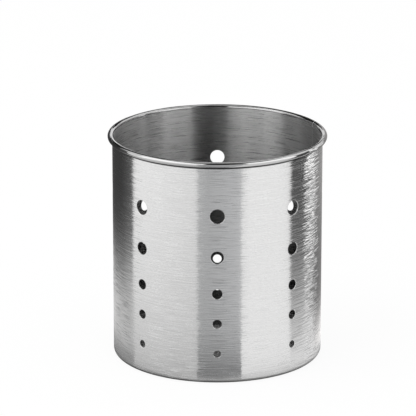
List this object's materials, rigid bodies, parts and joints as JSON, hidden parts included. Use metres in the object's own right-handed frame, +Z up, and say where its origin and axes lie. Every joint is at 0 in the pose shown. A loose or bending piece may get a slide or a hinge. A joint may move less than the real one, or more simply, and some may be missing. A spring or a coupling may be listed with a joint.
{
  "type": "cutlery caddy",
  "caption": "Round open-topped cutlery caddy in brushed stainless sheet, with columns of round drain holes, a rolled rim and a flat base that stands on a table.",
  "frame": {"origin": "centre of the standing ring, on the surface the caddy stands on", "axes": "+Z up along the axis of the sleeve, -Y towards the front, where one column of holes faces the viewer"},
  "size_m": [0.12, 0.12, 0.125],
  "materials": {
    "brushed_sheet": "brushed round the sleeve",
    "ground_weld": "ground flush and brushed",
    "drawn_wire": "drawn wire",
    "pressed_sheet": "satin, pressed",
    "plug_weld": "weld metal"
  },
  "bodies": {
    "root": {"side_wall": "brushed_sheet", "seam_weld": "ground_weld", "rim_wire": "drawn_wire", "base_pan": "pressed_sheet", "plug_welds": "plug_weld"}
  },
  "joints": []
}
